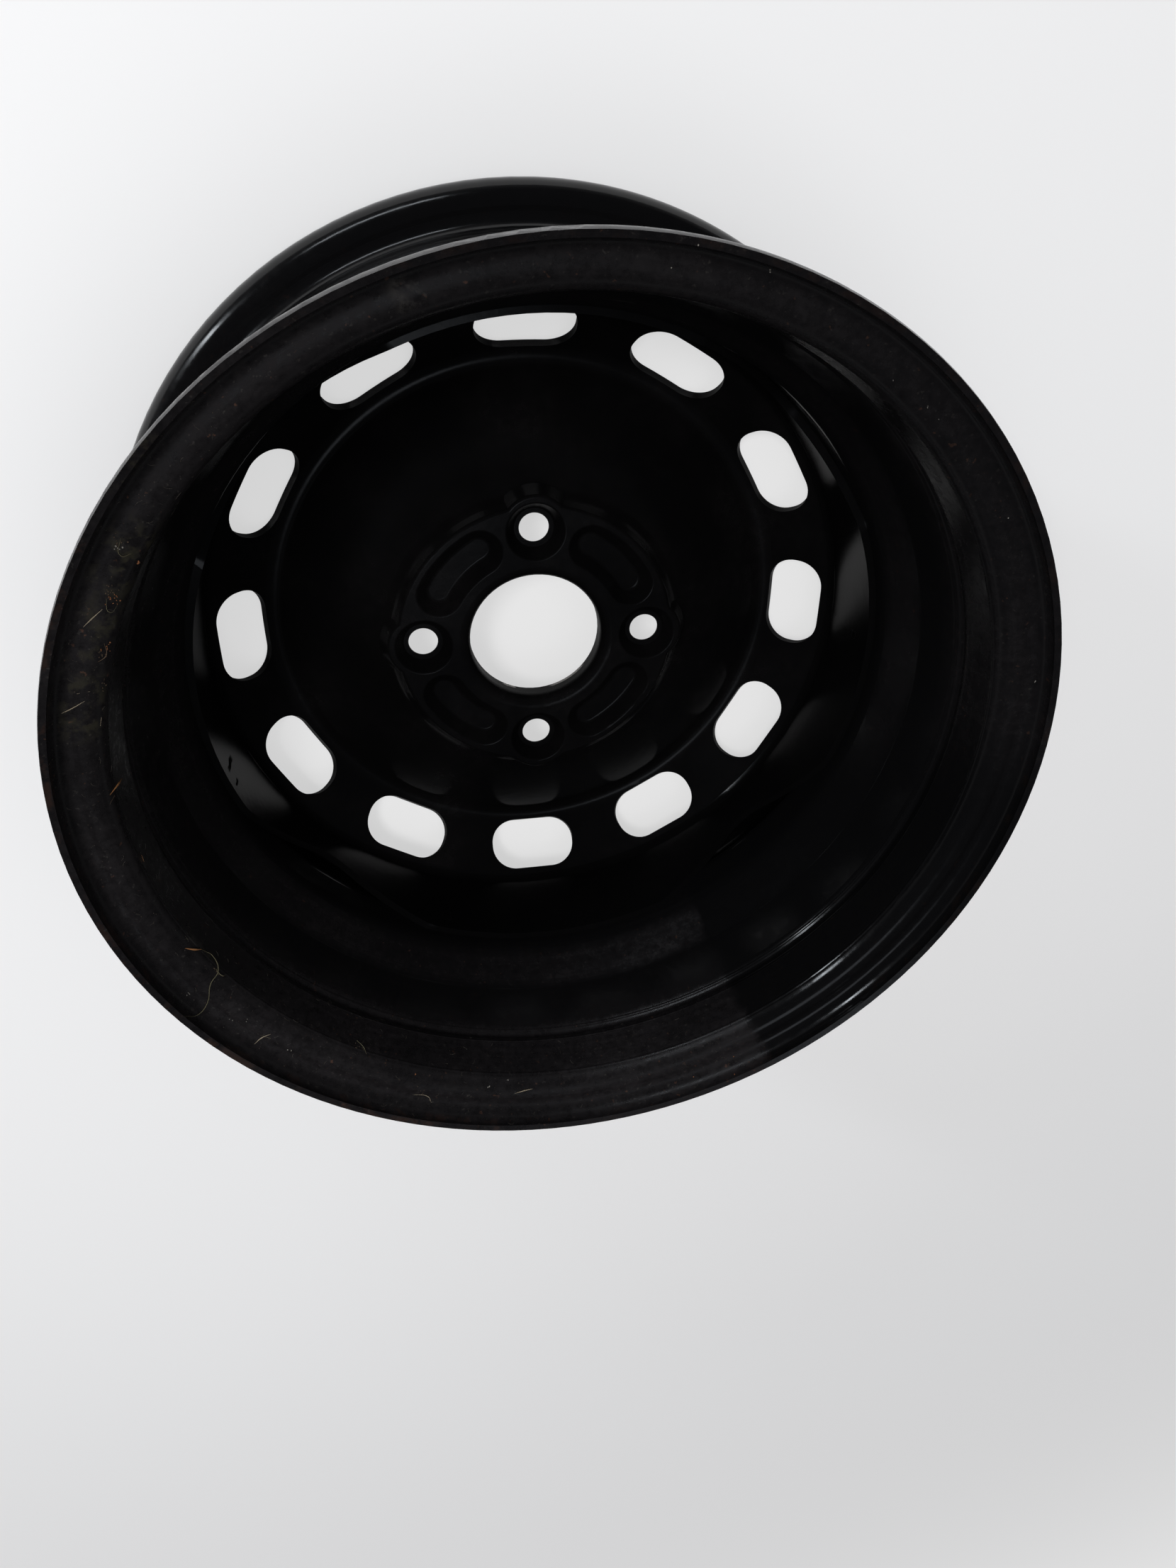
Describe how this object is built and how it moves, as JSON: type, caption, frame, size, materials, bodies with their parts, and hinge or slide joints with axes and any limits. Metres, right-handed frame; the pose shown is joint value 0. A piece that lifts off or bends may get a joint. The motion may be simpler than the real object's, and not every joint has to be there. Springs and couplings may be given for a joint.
{
  "type": "pressed steel wheel rim",
  "caption": "Bare pressed steel road wheel: a rolled drop-centre barrel with a slotted dish disc welded in its well, a round centre bore and cone-seat bolt holes.",
  "frame": {"origin": "where the wheel's axis crosses the hub mounting face", "axes": "+Z along the wheel's axis towards the inboard side; +Y through the middle of one bolt hole; the valve hole is towards -Y"},
  "size_m": [0.3894, 0.3894, 0.17],
  "materials": {
    "barrel_paint": "semi-gloss black paint under a film of dust, bare and bright where the lip has been rubbed",
    "disc_paint": "semi-gloss black paint, dusty, worn to bright steel round the bore",
    "weld_paint": "black paint over a rippled weld"
  },
  "bodies": {
    "root": {"rim": "barrel_paint", "disc": "disc_paint", "weld_seam_1": "weld_paint", "weld_seam_2": "weld_paint", "weld_seam_3": "weld_paint", "weld_seam_4": "weld_paint"}
  },
  "joints": []
}
